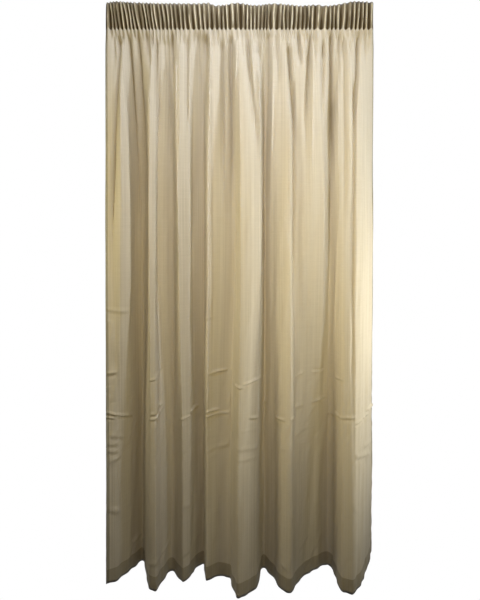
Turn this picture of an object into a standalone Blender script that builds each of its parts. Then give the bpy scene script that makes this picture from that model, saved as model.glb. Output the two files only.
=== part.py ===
# Sheer curtain on a gathered pencil-pleat heading, hanging free from its top edge.
# Metres, +Z up. The origin is the middle of the heading's top edge, +X is the viewer's right and
# the face of the curtain looks along -Y. The cloth is one sheet that follows a table of folds.

import math

import bmesh
import bpy
import numpy as np

# Driving sizes
DROP = 1.832
HEADING_HEIGHT = 0.081
FLAT_WIDTH = 1.676
CLOTH_THICKNESS = 0.0012
HEM_HEIGHT = 0.045
HEM_THICKNESS = 0.0020
SIDE_HEM_WIDTH = 0.010
HEM_STEP = 0.003

TAPE_THICKNESS = 0.0010
TAPE_GAP = 0.0006
LAYER_GROUP = "layers"

# Pencil pleats. A pleat's section gives the phase across it and how far that point stands forward.
# Their pitch sways along the heading by a few waves: size, waves in the width, start
PLEATS = 62
PLEAT_DEPTH = 0.0095
PLEAT_SECTION = ((0.00, 0.0), (0.27, 0.5), (0.50, 1.0), (0.73, 0.5))
POINTS_PER_PLEAT = len(PLEAT_SECTION)
PITCH_SWAY = ((0.09, 2.3, 0.4), (0.08, 5.1, 1.9), (0.10, 13.3, 0.8))

# Flatter, wider pleats in the heading: place along it from 0 to 1, and how much wider
WIDE_PLEATS = (
    (0.006, 0.4), (0.250, 0.3), (0.345, 0.4), (0.420, 0.4), (0.492, 0.5),
    (0.655, 0.8), (0.822, 0.9), (0.905, 0.4), (0.990, 0.5),
)
WIDE_PLEAT_REACH = 0.9

# The main folds. flat: place across the uncut cloth. head_x: where that line of cloth leaves the
# heading. mid_x and mid_y: where it hangs at MID_DROP, and hem_x and hem_y from HEM_SHAPE_DROP down,
# with +Y away from the viewer. crease: how sharply the cloth bends there, from 0 to 1, at MID_DROP.
FOLDS = (
    # name, flat, head_x, mid_x, mid_y, hem_x, hem_y, crease
    ("left edge", 0.000, -0.428, -0.423, -0.018, -0.420, -0.019, 0.0),
    ("panel 1", 0.033, -0.407, -0.397, -0.024, -0.392, -0.002, 0.0),
    ("ridge 1", 0.058, -0.395, -0.371, -0.042, -0.378, 0.013, 0.3),
    ("lip 1", 0.082, -0.384, -0.344, -0.020, -0.362, 0.032, 0.6),
    ("slope 1", 0.121, -0.367, -0.346, 0.034, -0.348, 0.055, 0.0),
    ("valley 1", 0.156, -0.350, -0.328, 0.060, -0.329, 0.081, 0.0),
    ("wall 1", 0.224, -0.319, -0.300, 0.034, -0.303, 0.022, 0.0),
    ("crest 1", 0.300, -0.281, -0.281, -0.046, -0.275, -0.043, 0.8),
    ("brow 1", 0.316, -0.267, -0.264, -0.034, -0.262, -0.044, 0.5),
    ("slope 2", 0.352, -0.251, -0.266, 0.022, -0.248, -0.010, 0.0),
    ("valley 2", 0.413, -0.218, -0.218, 0.024, -0.218, 0.037, 0.0),
    ("crest 2", 0.470, -0.190, -0.193, -0.026, -0.181, -0.010, 0.8),
    ("brow 2", 0.495, -0.167, -0.158, -0.006, -0.161, 0.009, 0.5),
    ("slope 3", 0.537, -0.145, -0.156, 0.036, -0.150, 0.040, 0.0),
    ("valley 3", 0.580, -0.124, -0.122, 0.056, -0.123, 0.065, 0.0),
    ("crest 3", 0.649, -0.096, -0.103, -0.019, -0.107, -0.003, 0.9),
    ("brow 3", 0.667, -0.085, -0.087, 0.006, -0.089, 0.005, 0.4),
    ("panel 4", 0.694, -0.068, -0.062, 0.014, -0.066, 0.014, 0.0),
    ("lip 4", 0.733, -0.042, -0.018, 0.018, -0.034, 0.010, 0.3),
    ("side 4", 0.786, -0.023, -0.006, -0.022, -0.022, -0.041, 0.0),
    ("crest 4", 0.823, -0.008, 0.002, -0.050, -0.005, -0.068, 0.8),
    ("face 4", 0.860, 0.021, 0.034, -0.047, 0.023, -0.057, 0.0),
    ("brow 4", 0.898, 0.050, 0.065, -0.024, 0.051, -0.032, 0.6),
    ("valley 5", 0.982, 0.077, 0.082, 0.046, 0.077, 0.049, 0.0),
    ("rise 5", 1.029, 0.096, 0.098, 0.002, 0.104, 0.013, 0.3),
    ("face 5", 1.090, 0.130, 0.131, -0.016, 0.133, -0.044, 0.0),
    ("crest 5", 1.121, 0.155, 0.158, -0.028, 0.154, -0.051, 0.5),
    ("bend 5", 1.149, 0.169, 0.173, -0.010, 0.173, -0.024, 0.2),
    ("slope 6", 1.232, 0.218, 0.234, -0.018, 0.229, 0.034, 0.0),
    ("brow 6", 1.262, 0.242, 0.262, -0.018, 0.253, 0.044, 0.1),
    ("valley 6", 1.307, 0.277, 0.289, 0.014, 0.289, 0.065, 0.0),
    ("lip 6", 1.325, 0.287, 0.298, 0.004, 0.301, 0.050, 0.4),
    ("side 6", 1.393, 0.310, 0.312, -0.012, 0.307, -0.016, 0.0),
    ("face 6", 1.429, 0.324, 0.332, -0.018, 0.318, -0.048, 0.0),
    ("crest 6", 1.462, 0.342, 0.355, -0.022, 0.343, -0.056, 0.9),
    ("panel 7", 1.525, 0.372, 0.388, 0.000, 0.383, -0.012, 0.0),
    ("right edge", 1.676, 0.425, 0.448, 0.085, 0.456, 0.125, 0.0),
)
FLAT, HEAD_X, MID_X, MID_Y, HEM_X, HEM_Y, CREASE = 1, 2, 3, 4, 5, 6, 7
MID_DROP = 0.700
HEM_SHAPE_DROP = 1.600
HEM_CREASE_SHARE = 0.3

# Smaller gathers that leave the heading and die out on the way down, each soft on its left side and
# steep on its right. top_x and end_x: where the trough starts and where it ends. depth and half_width:
# its section. start and reach: the drops between which it runs.
GATHERS = (
    # top_x, end_x, depth, half_width, start, reach
    (-0.402, -0.395, 0.007, 0.0045, 0.081, 0.24),
    (-0.392, -0.383, 0.008, 0.0040, 0.081, 0.15),
    (-0.371, -0.382, 0.008, 0.0040, 0.081, 0.15),
    (-0.381, -0.402, 0.017, 0.0065, 0.095, 0.95),
    (-0.354, -0.322, 0.017, 0.0060, 0.085, 0.85),
    (-0.323, -0.290, 0.014, 0.0075, 0.081, 0.85),
    (-0.296, -0.280, 0.014, 0.0055, 0.081, 0.22),
    (-0.275, -0.281, 0.010, 0.0045, 0.081, 0.15),
    (-0.264, -0.262, 0.015, 0.0060, 0.100, 0.44),
    (-0.228, -0.226, 0.013, 0.0090, 0.100, 0.60),
    (-0.213, -0.215, 0.015, 0.0045, 0.081, 0.30),
    (-0.167, -0.169, 0.013, 0.0065, 0.095, 0.46),
    (-0.133, -0.132, 0.008, 0.0070, 0.081, 0.30),
    (-0.108, -0.107, 0.014, 0.0070, 0.090, 0.45),
    (-0.056, -0.053, 0.015, 0.0055, 0.110, 0.70),
    (-0.027, -0.025, 0.018, 0.0065, 0.090, 0.76),
    (0.022, 0.056, 0.014, 0.0060, 0.081, 0.48),
    (0.058, 0.068, 0.013, 0.0050, 0.081, 0.26),
    (0.092, 0.090, 0.018, 0.0060, 0.081, 0.75),
    (0.120, 0.122, 0.008, 0.0060, 0.081, 0.30),
    (0.153, 0.178, 0.018, 0.0060, 0.120, 0.48),
    (0.171, 0.166, 0.014, 0.0042, 0.240, 1.15),
    (0.187, 0.198, 0.011, 0.0050, 0.081, 0.22),
    (0.225, 0.203, 0.018, 0.0060, 0.090, 0.50),
    (0.240, 0.236, 0.007, 0.0045, 0.081, 0.20),
    (0.268, 0.259, 0.013, 0.0050, 0.110, 0.45),
    (0.290, 0.299, 0.018, 0.0060, 0.081, 0.60),
    (0.296, 0.282, 0.011, 0.0042, 0.300, 1.05),
    (0.318, 0.292, 0.015, 0.0070, 0.081, 0.55),
    (0.332, 0.329, 0.011, 0.0080, 0.100, 0.80),
    (0.378, 0.360, 0.017, 0.0055, 0.081, 0.44),
    (0.364, 0.346, 0.014, 0.0050, 0.240, 1.60),
    (0.400, 0.404, 0.010, 0.0050, 0.081, 0.20),
)
GATHER_RISE = 0.030
GATHER_HOLD = 0.45
GATHER_SOFT_SIDE = 1.5
GATHER_STEEP_SIDE = 0.7
GATHER_POWER = 1.3
PLEAT_REACH = 0.070

# The heading's top edge stands a little higher where the tape pulls less. x, rise
TOP_EDGE = (
    (-0.428, 0.001), (-0.384, 0.007), (-0.330, 0.004), (-0.250, 0.001), (-0.130, 0.000),
    (-0.098, 0.002), (-0.073, -0.006), (-0.052, -0.005), (-0.010, 0.002), (0.048, -0.005),
    (0.105, 0.000), (0.160, -0.004), (0.190, -0.007), (0.235, -0.004), (0.272, -0.007),
    (0.300, -0.004), (0.330, 0.002), (0.362, 0.007), (0.425, 0.004),
)

# How far the top of a pleat leans sideways from its foot. x, lean
PLEAT_LEAN = (
    (-0.428, 0.000), (-0.400, -0.010), (-0.330, -0.015), (-0.240, -0.010), (-0.150, -0.006),
    (-0.060, -0.004), (0.080, 0.002), (0.220, 0.004), (0.380, 0.003), (0.425, 0.000),
)

# Drops at which the sheet has a row of points
CLOTH_ROWS = (
    0.0, HEADING_HEIGHT, 0.115, 0.175, 0.265, 0.390, 0.550, 0.780, 1.250,
    DROP - HEM_HEIGHT - HEM_STEP, DROP - HEM_HEIGHT, DROP,
)

CLOTH_COLOUR = (0.560, 0.505, 0.400, 1.0)
CLOTH_ROUGHNESS = 0.85
TAPE_COLOUR = (0.150, 0.115, 0.060, 1.0)
TAPE_ROUGHNESS = 0.90


def column(table, place):
    """One column of a table as an array."""
    return np.array([row[place] for row in table], dtype=float)


def level_curve(knots, values, at, crease=0.0):
    """A line through the values, level at every crest, that bends more sharply where it is creased."""
    step = np.diff(knots)
    rise = np.diff(values) / step
    slope = np.zeros(len(knots))
    for k in range(1, len(knots) - 1):
        if rise[k - 1] * rise[k] > 0:
            slope[k] = 2 * rise[k - 1] * rise[k] / (rise[k - 1] + rise[k])
    slope[0] = rise[0]
    slope[-1] = rise[-1]
    before = slope + crease * (np.append(rise[0], rise) - slope)
    after = slope + crease * (np.append(rise, rise[-1]) - slope)
    k = np.clip(np.searchsorted(knots, at, side="right") - 1, 0, len(step) - 1)
    u = (at - knots[k]) / step[k]
    low = values[k] * (1 + 2 * u) * (1 - u) ** 2
    high = values[k + 1] * u * u * (3 - 2 * u)
    bend = step[k] * u * (1 - u) * (after[k] * (1 - u) - before[k + 1] * u)
    return low + high + bend


def fold_curve(place, flat, crease_share=1.0):
    """One of the fold table's columns as a line across the flat cloth."""
    crease = crease_share * column(FOLDS, CREASE)
    return level_curve(column(FOLDS, FLAT), column(FOLDS, place), flat, crease)


def ease(value, start, end):
    """Rises smoothly from 0 at start to 1 at end."""
    u = min(max((value - start) / (end - start), 0.0), 1.0)
    return u * u * (3 - 2 * u)


def swell(value, start, end):
    """Grows fast from 0 at start and levels out to 1 at end."""
    u = min(max((value - start) / (end - start), 0.0), 1.0)
    return u * (2 - u)


def pleat_columns():
    """The sheet's columns: how far forward in its pleat each one stands, and its place at the heading."""
    count = PLEATS * POINTS_PER_PLEAT
    pleat, point = np.divmod(np.arange(count + 1), POINTS_PER_PLEAT)
    phase = pleat + column(PLEAT_SECTION, 0)[point]
    height = column(PLEAT_SECTION, 1)[point]
    along = phase / PLEATS
    place = phase.copy()
    for size, waves, start in PITCH_SWAY:
        turn = 2 * math.pi * waves
        place += size * PLEATS / turn * (np.sin(turn * along + start) - math.sin(start))
    for centre, extra in WIDE_PLEATS:
        spread = (phase - centre * PLEATS) / WIDE_PLEAT_REACH
        place += extra * WIDE_PLEAT_REACH * np.tanh(spread)
    left = FOLDS[0][HEAD_X]
    right = FOLDS[-1][HEAD_X]
    place = left + (right - left) * (place - place[0]) / (place[-1] - place[0])
    return height, place


def flat_place(head_x):
    """Place across the uncut cloth of what leaves the heading at head_x."""
    return level_curve(column(FOLDS, HEAD_X), column(FOLDS, FLAT), head_x)


def gather_depth(x, drop):
    """How far the small gathers push the cloth back at one drop."""
    depth = np.zeros_like(x)
    for top_x, end_x, size, half_width, start, reach in GATHERS:
        share = min(max((drop - start) / (reach - start), 0.0), 1.0)
        line = top_x + (end_x - top_x) * share
        rise = ease(drop, start, start + GATHER_RISE)
        fade = 1 - ease(share, GATHER_HOLD, 1.0)
        side = half_width * np.where(x < line, GATHER_SOFT_SIDE, GATHER_STEEP_SIDE)
        depth += size * rise * fade * np.exp(-(np.abs(x - line) / side) ** GATHER_POWER)
    return depth


def cloth_row(drop, height, head_x):
    """Points of the sheet's middle surface across one drop."""
    flat = flat_place(head_x)
    mid_x, mid_y = (fold_curve(place, flat) for place in (MID_X, MID_Y))
    hem_x, hem_y = (fold_curve(place, flat, HEM_CREASE_SHARE) for place in (HEM_X, HEM_Y))
    near = swell(drop, HEADING_HEIGHT, MID_DROP)
    far = ease(drop, MID_DROP, HEM_SHAPE_DROP)
    above = max(1 - drop / HEADING_HEIGHT, 0.0)
    pleat = 1 - ease(drop, HEADING_HEIGHT, HEADING_HEIGHT + PLEAT_REACH)
    lean = level_curve(column(PLEAT_LEAN, 0), column(PLEAT_LEAN, 1), head_x)
    rise = level_curve(column(TOP_EDGE, 0), column(TOP_EDGE, 1), head_x)
    x = head_x + near * (mid_x - head_x) + far * (hem_x - mid_x) + above * lean
    y = near * mid_y + far * (hem_y - mid_y) + gather_depth(x, drop) + pleat * PLEAT_DEPTH * (0.5 - height)
    z = above * rise - drop
    return np.stack([x, y, z], axis=1)


def sheet(name, rows, layers):
    """An open sheet with one row of points for each row given, and each point's share of thickness."""
    across = len(rows[0]) - 1
    down = len(rows) - 1
    bm = bmesh.new()
    bmesh.ops.create_grid(bm, x_segments=across, y_segments=down, size=0.5)
    shares = bm.verts.layers.deform.verify()
    for vertex in bm.verts:
        k = round((vertex.co.x + 0.5) * across)
        r = round((0.5 - vertex.co.y) * down)
        vertex.co = rows[r][k]
        vertex[shares][0] = layers[r][k]
    bmesh.ops.triangulate(bm, faces=bm.faces[:], quad_method="FIXED")
    mesh = bpy.data.meshes.new(name)
    bm.to_mesh(mesh)
    bm.free()
    item = bpy.data.objects.new(name, mesh)
    item.vertex_groups.new(name=LAYER_GROUP)
    return item


def thicken(item, thickness, offset):
    """Gives a sheet its thickness. At offset 0 it is centred on the sheet, at -1 it lies just behind."""
    shell = item.modifiers.new("thickness", "SOLIDIFY")
    shell.thickness = thickness
    shell.offset = offset
    shell.use_even_offset = True
    shell.use_quality_normals = True
    shell.vertex_group = LAYER_GROUP


def cloth_material(name, colour, roughness):
    """A plain woven cloth of one colour."""
    material = bpy.data.materials.new(name)
    material.use_nodes = True
    shader = material.node_tree.nodes["Principled BSDF"]
    shader.inputs["Base Color"].default_value = colour
    shader.inputs["Roughness"].default_value = roughness
    shader.inputs["Metallic"].default_value = 0.0
    return material


def hem_layers(flat):
    """Shares of the hem's thickness: whole in the doubled hems, less in the single cloth."""
    single = CLOTH_THICKNESS / HEM_THICKNESS
    edge = np.minimum(flat, FLAT_WIDTH - flat) <= SIDE_HEM_WIDTH
    rows = []
    for drop in CLOTH_ROWS:
        in_hem = np.full(flat.shape, drop > DROP - HEM_HEIGHT - HEM_STEP / 2)
        in_side = edge & (drop > HEADING_HEIGHT)
        rows.append(np.where(in_hem | in_side, 1.0, single))
    return rows


def make_cloth(height, head_x):
    """The whole panel, pleated through its heading, with its hems in it."""
    rows = [cloth_row(drop, height, head_x) for drop in CLOTH_ROWS]
    item = sheet("curtain_cloth", rows, hem_layers(flat_place(head_x)))
    thicken(item, HEM_THICKNESS, 0.0)
    item.data.materials.append(cloth_material("sheer_cloth", CLOTH_COLOUR, CLOTH_ROUGHNESS))
    return item


def make_tape(height, head_x):
    """The gathering tape behind the heading, pleated with the cloth."""
    rows = [cloth_row(drop, height, head_x) for drop in (0.0, HEADING_HEIGHT)]
    item = sheet("heading_tape", rows, np.ones((len(rows), len(head_x))))
    near = CLOTH_THICKNESS / 2 + TAPE_GAP
    thicken(item, TAPE_THICKNESS, -(1 + 2 * near / TAPE_THICKNESS))
    item.data.materials.append(cloth_material("tape_weave", TAPE_COLOUR, TAPE_ROUGHNESS))
    return item


def main():
    for item in list(bpy.data.objects):
        bpy.data.objects.remove(item, do_unlink=True)
    group = bpy.data.collections.new("sheer_curtain")
    bpy.context.scene.collection.children.link(group)
    height, head_x = pleat_columns()
    for item in (make_cloth(height, head_x), make_tape(height, head_x)):
        group.objects.link(item)


main()
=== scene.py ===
# The finished look of a sheer curtain on a pencil-pleat heading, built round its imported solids.
# Metres, +Z up. The origin is the middle of the heading's top edge, +X is the viewer's right and
# the face of the curtain looks along -Y. The fine cloth follows the same tables as the solids.

import math

import bmesh
import bpy
import numpy as np
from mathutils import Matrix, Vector

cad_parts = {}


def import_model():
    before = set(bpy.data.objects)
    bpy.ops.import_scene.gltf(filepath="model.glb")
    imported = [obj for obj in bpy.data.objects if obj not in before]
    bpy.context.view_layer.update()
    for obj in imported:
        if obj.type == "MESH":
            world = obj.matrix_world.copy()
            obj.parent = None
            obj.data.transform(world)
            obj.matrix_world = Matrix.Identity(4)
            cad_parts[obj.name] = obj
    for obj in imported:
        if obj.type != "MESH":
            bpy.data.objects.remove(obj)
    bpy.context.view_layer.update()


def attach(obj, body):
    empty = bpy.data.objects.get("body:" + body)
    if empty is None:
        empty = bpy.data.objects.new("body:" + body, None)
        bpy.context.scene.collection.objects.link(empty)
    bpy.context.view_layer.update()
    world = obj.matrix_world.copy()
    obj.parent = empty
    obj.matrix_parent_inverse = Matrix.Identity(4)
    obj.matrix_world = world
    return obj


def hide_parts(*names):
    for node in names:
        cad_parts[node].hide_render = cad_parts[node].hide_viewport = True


# Driving sizes, the same as the solids'
DROP = 1.832
HEADING_HEIGHT = 0.081
FLAT_WIDTH = 1.676
HEM_HEIGHT = 0.045

# Pencil pleats. Their pitch sways along the heading by a few waves: size, waves in the width, start
PLEATS = 62
PLEAT_DEPTH = 0.0095
PITCH_SWAY = ((0.09, 2.3, 0.4), (0.08, 5.1, 1.9), (0.10, 13.3, 0.8))

# Flatter, wider pleats in the heading: place along it from 0 to 1, and how much wider. Each one's
# width fades over WIDE_PLEAT_REACH pleats to both sides.
WIDE_PLEATS = (
    (0.006, 0.4), (0.250, 0.3), (0.345, 0.4), (0.420, 0.4), (0.492, 0.5),
    (0.655, 0.8), (0.822, 0.9), (0.905, 0.4), (0.990, 0.5),
)
WIDE_PLEAT_REACH = 0.9

# The main folds. flat: place across the uncut cloth. head_x: where that line of cloth leaves the
# heading. mid_x and mid_y: where it hangs at MID_DROP, and hem_x and hem_y from HEM_SHAPE_DROP down,
# with +Y away from the viewer. crease: how sharply the cloth bends there, from 0 to 1, at MID_DROP.
FOLDS = (
    # name, flat, head_x, mid_x, mid_y, hem_x, hem_y, crease
    ("left edge", 0.000, -0.428, -0.423, -0.018, -0.420, -0.019, 0.0),
    ("panel 1", 0.033, -0.407, -0.397, -0.024, -0.392, -0.002, 0.0),
    ("ridge 1", 0.058, -0.395, -0.371, -0.042, -0.378, 0.013, 0.3),
    ("lip 1", 0.082, -0.384, -0.344, -0.020, -0.362, 0.032, 0.6),
    ("slope 1", 0.121, -0.367, -0.346, 0.034, -0.348, 0.055, 0.0),
    ("valley 1", 0.156, -0.350, -0.328, 0.060, -0.329, 0.081, 0.0),
    ("wall 1", 0.224, -0.319, -0.300, 0.034, -0.303, 0.022, 0.0),
    ("crest 1", 0.300, -0.281, -0.281, -0.046, -0.275, -0.043, 0.8),
    ("brow 1", 0.316, -0.267, -0.264, -0.034, -0.262, -0.044, 0.5),
    ("slope 2", 0.352, -0.251, -0.266, 0.022, -0.248, -0.010, 0.0),
    ("valley 2", 0.413, -0.218, -0.218, 0.024, -0.218, 0.037, 0.0),
    ("crest 2", 0.470, -0.190, -0.193, -0.026, -0.181, -0.010, 0.8),
    ("brow 2", 0.495, -0.167, -0.158, -0.006, -0.161, 0.009, 0.5),
    ("slope 3", 0.537, -0.145, -0.156, 0.036, -0.150, 0.040, 0.0),
    ("valley 3", 0.580, -0.124, -0.122, 0.056, -0.123, 0.065, 0.0),
    ("crest 3", 0.649, -0.096, -0.103, -0.019, -0.107, -0.003, 0.9),
    ("brow 3", 0.667, -0.085, -0.087, 0.006, -0.089, 0.005, 0.4),
    ("panel 4", 0.694, -0.068, -0.062, 0.014, -0.066, 0.014, 0.0),
    ("lip 4", 0.733, -0.042, -0.018, 0.018, -0.034, 0.010, 0.3),
    ("side 4", 0.786, -0.023, -0.006, -0.022, -0.022, -0.041, 0.0),
    ("crest 4", 0.823, -0.008, 0.002, -0.050, -0.005, -0.068, 0.8),
    ("face 4", 0.860, 0.021, 0.034, -0.047, 0.023, -0.057, 0.0),
    ("brow 4", 0.898, 0.050, 0.065, -0.024, 0.051, -0.032, 0.6),
    ("valley 5", 0.982, 0.077, 0.082, 0.046, 0.077, 0.049, 0.0),
    ("rise 5", 1.029, 0.096, 0.098, 0.002, 0.104, 0.013, 0.3),
    ("face 5", 1.090, 0.130, 0.131, -0.016, 0.133, -0.044, 0.0),
    ("crest 5", 1.121, 0.155, 0.158, -0.028, 0.154, -0.051, 0.5),
    ("bend 5", 1.149, 0.169, 0.173, -0.010, 0.173, -0.024, 0.2),
    ("slope 6", 1.232, 0.218, 0.234, -0.018, 0.229, 0.034, 0.0),
    ("brow 6", 1.262, 0.242, 0.262, -0.018, 0.253, 0.044, 0.1),
    ("valley 6", 1.307, 0.277, 0.289, 0.014, 0.289, 0.065, 0.0),
    ("lip 6", 1.325, 0.287, 0.298, 0.004, 0.301, 0.050, 0.4),
    ("side 6", 1.393, 0.310, 0.312, -0.012, 0.307, -0.016, 0.0),
    ("face 6", 1.429, 0.324, 0.332, -0.018, 0.318, -0.048, 0.0),
    ("crest 6", 1.462, 0.342, 0.355, -0.022, 0.343, -0.056, 0.9),
    ("panel 7", 1.525, 0.372, 0.388, 0.000, 0.383, -0.012, 0.0),
    ("right edge", 1.676, 0.425, 0.448, 0.085, 0.456, 0.125, 0.0),
)
FLAT, HEAD_X, MID_X, MID_Y, HEM_X, HEM_Y, CREASE = 1, 2, 3, 4, 5, 6, 7
MID_DROP = 0.700
HEM_SHAPE_DROP = 1.600
HEM_CREASE_SHARE = 0.3

# Smaller gathers that leave the heading and die out on the way down, each soft on its left side and
# steep on its right. top_x and end_x: where the trough starts and where it ends. depth and half_width:
# its section. start and reach: the drops between which it runs.
GATHERS = (
    # top_x, end_x, depth, half_width, start, reach
    (-0.402, -0.395, 0.007, 0.0045, 0.081, 0.24),
    (-0.392, -0.383, 0.008, 0.0040, 0.081, 0.15),
    (-0.371, -0.382, 0.008, 0.0040, 0.081, 0.15),
    (-0.381, -0.402, 0.017, 0.0065, 0.095, 0.95),
    (-0.354, -0.322, 0.017, 0.0060, 0.085, 0.85),
    (-0.323, -0.290, 0.014, 0.0075, 0.081, 0.85),
    (-0.296, -0.280, 0.014, 0.0055, 0.081, 0.22),
    (-0.275, -0.281, 0.010, 0.0045, 0.081, 0.15),
    (-0.264, -0.262, 0.015, 0.0060, 0.100, 0.44),
    (-0.228, -0.226, 0.013, 0.0090, 0.100, 0.60),
    (-0.213, -0.215, 0.015, 0.0045, 0.081, 0.30),
    (-0.167, -0.169, 0.013, 0.0065, 0.095, 0.46),
    (-0.133, -0.132, 0.008, 0.0070, 0.081, 0.30),
    (-0.108, -0.107, 0.014, 0.0070, 0.090, 0.45),
    (-0.056, -0.053, 0.015, 0.0055, 0.110, 0.70),
    (-0.027, -0.025, 0.018, 0.0065, 0.090, 0.76),
    (0.022, 0.056, 0.014, 0.0060, 0.081, 0.48),
    (0.058, 0.068, 0.013, 0.0050, 0.081, 0.26),
    (0.092, 0.090, 0.018, 0.0060, 0.081, 0.75),
    (0.120, 0.122, 0.008, 0.0060, 0.081, 0.30),
    (0.153, 0.178, 0.018, 0.0060, 0.120, 0.48),
    (0.171, 0.166, 0.014, 0.0042, 0.240, 1.15),
    (0.187, 0.198, 0.011, 0.0050, 0.081, 0.22),
    (0.225, 0.203, 0.018, 0.0060, 0.090, 0.50),
    (0.240, 0.236, 0.007, 0.0045, 0.081, 0.20),
    (0.268, 0.259, 0.013, 0.0050, 0.110, 0.45),
    (0.290, 0.299, 0.018, 0.0060, 0.081, 0.60),
    (0.296, 0.282, 0.011, 0.0042, 0.300, 1.05),
    (0.318, 0.292, 0.015, 0.0070, 0.081, 0.55),
    (0.332, 0.329, 0.011, 0.0080, 0.100, 0.80),
    (0.378, 0.360, 0.017, 0.0055, 0.081, 0.44),
    (0.364, 0.346, 0.014, 0.0050, 0.240, 1.60),
    (0.400, 0.404, 0.010, 0.0050, 0.081, 0.20),
)

# A gather deepens over GATHER_RISE and then keeps its depth for the share GATHER_HOLD of its length.
# Each side is that many half widths wide, and falls off with the power GATHER_POWER.
GATHER_RISE = 0.030
GATHER_HOLD = 0.45
GATHER_SOFT_SIDE = 1.5
GATHER_STEEP_SIDE = 0.7
GATHER_POWER = 1.3

# Fine nips and ridges beside the gathers, on the finished cloth only. The columns are the gathers'
# own; a ridge has a depth below nothing.
NIPS = (
    # top_x, end_x, depth, half_width, start, reach
    (-0.403, -0.390, 0.004, 0.0030, 0.095, 0.20),
    (-0.393, -0.381, 0.007, 0.0028, 0.081, 0.16),
    (-0.353, -0.340, 0.004, 0.0032, 0.090, 0.46),
    (-0.372, -0.360, -0.010, 0.0040, 0.260, 0.80),
    (-0.328, -0.318, 0.007, 0.0035, 0.081, 0.20),
    (-0.319, -0.308, 0.004, 0.0038, 0.130, 0.46),
    (-0.302, -0.278, 0.006, 0.0050, 0.081, 0.26),
    (-0.287, -0.283, -0.007, 0.0035, 0.250, 0.90),
    (-0.267, -0.262, 0.010, 0.0030, 0.110, 0.32),
    (-0.243, -0.236, 0.006, 0.0045, 0.100, 0.32),
    (-0.215, -0.217, 0.010, 0.0034, 0.081, 0.17),
    (-0.204, -0.190, -0.010, 0.0040, 0.180, 0.95),
    (-0.184, -0.178, 0.005, 0.0030, 0.081, 0.16),
    (-0.168, -0.168, 0.003, 0.0026, 0.085, 0.20),
    (-0.153, -0.148, 0.007, 0.0030, 0.081, 0.14),
    (-0.135, -0.132, 0.006, 0.0028, 0.081, 0.15),
    (-0.120, -0.113, 0.006, 0.0030, 0.081, 0.17),
    (-0.106, -0.103, 0.010, 0.0040, 0.085, 0.20),
    (-0.094, -0.095, -0.011, 0.0038, 0.081, 1.10),
    (-0.063, -0.062, 0.007, 0.0026, 0.085, 0.16),
    (-0.041, -0.035, -0.010, 0.0042, 0.081, 0.34),
    (-0.010, -0.019, -0.009, 0.0032, 0.100, 0.44),
    (0.011, 0.012, 0.006, 0.0028, 0.081, 0.13),
    (0.024, 0.040, 0.006, 0.0032, 0.120, 0.34),
    (0.034, 0.046, -0.009, 0.0042, 0.090, 0.32),
    (0.062, 0.067, -0.014, 0.0048, 0.160, 0.62),
    (0.070, 0.069, 0.006, 0.0028, 0.081, 0.13),
    (0.064, 0.068, 0.008, 0.0026, 0.115, 0.22),
    (0.106, 0.098, -0.008, 0.0034, 0.120, 0.62),
    (0.117, 0.117, 0.006, 0.0026, 0.100, 0.20),
    (0.159, 0.160, 0.008, 0.0032, 0.130, 0.30),
    (0.167, 0.171, -0.007, 0.0040, 0.100, 0.28),
    (0.188, 0.192, 0.010, 0.0050, 0.081, 0.22),
    (0.205, 0.204, 0.005, 0.0028, 0.081, 0.14),
    (0.223, 0.220, 0.007, 0.0028, 0.115, 0.24),
    (0.231, 0.226, -0.008, 0.0034, 0.140, 0.55),
    (0.234, 0.234, 0.006, 0.0028, 0.081, 0.14),
    (0.266, 0.268, 0.010, 0.0030, 0.100, 0.19),
    (0.293, 0.295, 0.007, 0.0026, 0.085, 0.40),
    (0.304, 0.301, 0.004, 0.0060, 0.120, 0.45),
    (0.312, 0.308, -0.009, 0.0036, 0.140, 0.62),
    (0.331, 0.326, 0.008, 0.0026, 0.081, 0.19),
    (0.348, 0.350, 0.006, 0.0026, 0.100, 0.17),
    (0.377, 0.362, 0.005, 0.0030, 0.090, 0.50),
    (0.371, 0.368, -0.004, 0.0040, 0.150, 0.60),
    (0.404, 0.412, 0.005, 0.0030, 0.090, 0.17),
)

# Depth of gathers and nips at which their painted shade is full
GATHER_SHADE_DEPTH = 0.026

# The heading's top edge stands a little higher where the tape pulls less. x, rise
TOP_EDGE = (
    (-0.428, 0.001), (-0.384, 0.007), (-0.330, 0.004), (-0.250, 0.001), (-0.130, 0.000),
    (-0.098, 0.002), (-0.073, -0.006), (-0.052, -0.005), (-0.010, 0.002), (0.048, -0.005),
    (0.105, 0.000), (0.160, -0.004), (0.190, -0.007), (0.235, -0.004), (0.272, -0.007),
    (0.300, -0.004), (0.330, 0.002), (0.362, 0.007), (0.425, 0.004),
)

# How far the top of a pleat leans sideways from its foot. x, lean
PLEAT_LEAN = (
    (-0.428, 0.000), (-0.400, -0.010), (-0.330, -0.015), (-0.240, -0.010), (-0.150, -0.006),
    (-0.060, -0.004), (0.080, 0.002), (0.220, 0.004), (0.380, 0.003), (0.425, 0.000),
)

# The fine sheet. Rows are close where the cloth has small relief: start, end and spacing of each run
COLUMNS_PER_PLEAT = 8
ROW_RUNS = (
    (0.000, 0.081, 0.0090),
    (0.081, 0.135, 0.0060),
    (0.135, 0.255, 0.0120),
    (0.255, 0.615, 0.0240),
    (0.615, 0.690, 0.0075),
    (0.690, 0.950, 0.0260),
    (0.950, 1.010, 0.0060),
    (1.010, 1.160, 0.0250),
    (1.160, 1.214, 0.0030),
    (1.214, 1.262, 0.0120),
    (1.262, 1.337, 0.0030),
    (1.337, 1.457, 0.0060),
    (1.457, 1.577, 0.0240),
    (1.577, 1.625, 0.0080),
    (1.625, 1.715, 0.0225),
    (1.715, 1.787, 0.0060),
    (1.787, 1.832, 0.0090),
)

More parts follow.
